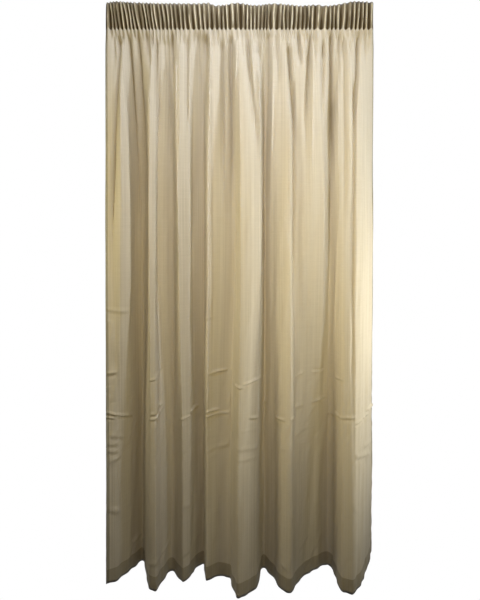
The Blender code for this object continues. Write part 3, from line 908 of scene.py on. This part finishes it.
def stitches_along(bm, path):
    """A row of short stitches along a path of points, standing out on the viewer's side."""
    lengths = np.linalg.norm(np.diff(path, axis=0), axis=1)
    reached = np.concatenate([[0.0], np.cumsum(lengths)])
    starts = np.arange(STITCH_PITCH, reached[-1] - STITCH_PITCH, STITCH_PITCH)
    lift = np.array([0.0, -STITCH_LIFT, 0.0])
    for start in starts:
        ends = [
            np.array([np.interp(s, reached, path[:, axis]) for axis in range(3)]) + lift
            for s in (start, start + STITCH_LENGTH)
        ]
        run = Vector(ends[1] - ends[0])
        middle = (Vector(ends[0]) + Vector(ends[1])) / 2
        made = bmesh.ops.create_cone(
            bm,
            cap_ends=True,
            segments=STITCH_SIDES,
            radius1=STITCH_WIDTH / 2,
            radius2=STITCH_WIDTH / 2,
            depth=run.length,
        )
        turn = run.to_track_quat("Z", "Y").to_matrix().to_4x4()
        turn.translation = middle
        bmesh.ops.transform(bm, matrix=turn, verts=made["verts"])


def make_stitching(points, drops, at):
    """The machine stitching of the bottom hem and the side hems, as one joined mesh."""
    bm = bmesh.new()
    hem_row = int(np.argmin(abs(drops - (DROP - HEM_HEIGHT + STITCH_INSET))))
    stitches_along(bm, points[hem_row])
    below = drops > HEADING_HEIGHT
    for edge in (SIDE_HEM_COLUMNS[0], len(at["flat"]) - 1 - SIDE_HEM_COLUMNS[1]):
        stitches_along(bm, points[below, edge])
    item = mesh_object("stitching", bm)
    item.data.materials.append(thread_material())
    return item


def make_camera():
    """The photograph's view: level, near and with the frame shifted down."""
    camera = bpy.data.cameras.new("camera")
    camera.sensor_fit = "VERTICAL"
    camera.sensor_height = CAMERA_SENSOR
    camera.lens = CAMERA_LENS
    camera.shift_y = CAMERA_SHIFT
    item = bpy.data.objects.new("camera", camera)
    item.location = CAMERA_PLACE
    item.rotation_euler = (math.pi / 2, 0.0, 0.0)
    bpy.context.scene.collection.objects.link(item)
    bpy.context.scene.camera = item


def area_light(name, place, aim, energy, size, spread, colour):
    """A soft light of that width and height, aimed at a point, with its beam's spread in degrees."""
    light = bpy.data.lights.new(name, "AREA")
    light.shape = "RECTANGLE"
    light.energy = energy
    light.size, light.size_y = size
    light.spread = math.radians(spread)
    light.color = colour
    item = bpy.data.objects.new(name, light)
    item.location = place
    item.rotation_euler = (Vector(aim) - Vector(place)).to_track_quat("-Z", "Y").to_euler()
    item.visible_camera = False
    bpy.context.scene.collection.objects.link(item)


def make_light():
    """The soft lights and a faint warm fill, with a white ground that only the camera sees."""
    for row in LIGHTS:
        area_light(*row)
    world = bpy.data.worlds.new("studio")
    bpy.context.scene.world = world
    world.use_nodes = True
    tree = world.node_tree
    fill = tree.nodes["Background"]
    fill.inputs["Color"].default_value = FILL_COLOUR
    fill.inputs["Strength"].default_value = FILL_STRENGTH
    paper = node(tree, "ShaderNodeBackground", {"Color": WHITE, "Strength": 1.0})
    seen = node(tree, "ShaderNodeLightPath").outputs["Is Camera Ray"]
    mixed = node(tree, "ShaderNodeMixShader", {0: seen, 1: fill.outputs[0], 2: paper.outputs[0]})
    tree.links.new(mixed.outputs[0], tree.nodes["World Output"].inputs[0])


def make_floor():
    """A plain pale floor under the hem."""
    bm = bmesh.new()
    bmesh.ops.create_grid(bm, x_segments=1, y_segments=1, size=FLOOR_SIZE / 2)
    item = mesh_object("floor", bm)
    item.location = (0.0, 0.0, -FLOOR_DROP)
    material = bpy.data.materials.new("pale_floor")
    material.use_nodes = True
    shader = material.node_tree.nodes["Principled BSDF"]
    shader.inputs["Base Color"].default_value = BLACK
    shader.inputs["Specular IOR Level"].default_value = 0.0
    shader.inputs["Emission Color"].default_value = WHITE
    shader.inputs["Emission Strength"].default_value = 1.0
    item.data.materials.append(material)
    item.visible_diffuse = False


def main():
    """Builds the scene, hangs its pieces on the root body and hides the solids that they replace."""
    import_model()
    make_camera()
    make_light()
    make_floor()
    at = pleat_columns()
    drops = row_drops()
    points = np.array([cloth_row(drop, at) for drop in drops])
    grid, across, down, ridge, gather_shade = cloth_grid(points, drops, at)
    curtain = grid_mesh("curtain", grid, across, down, ridge, gather_shade)
    curtain.data.materials.append(cloth_material(at["flat"][SIDE_HEM_COLUMNS[0]]))
    tape = make_tape(at)
    stitching = make_stitching(points, drops, at)
    for piece in (curtain, tape, stitching):
        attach(piece, "root")
    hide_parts("curtain_cloth")
    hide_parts("heading_tape")
    bpy.context.scene.view_settings.view_transform = "Standard"
    bpy.context.view_layer.update()


main()
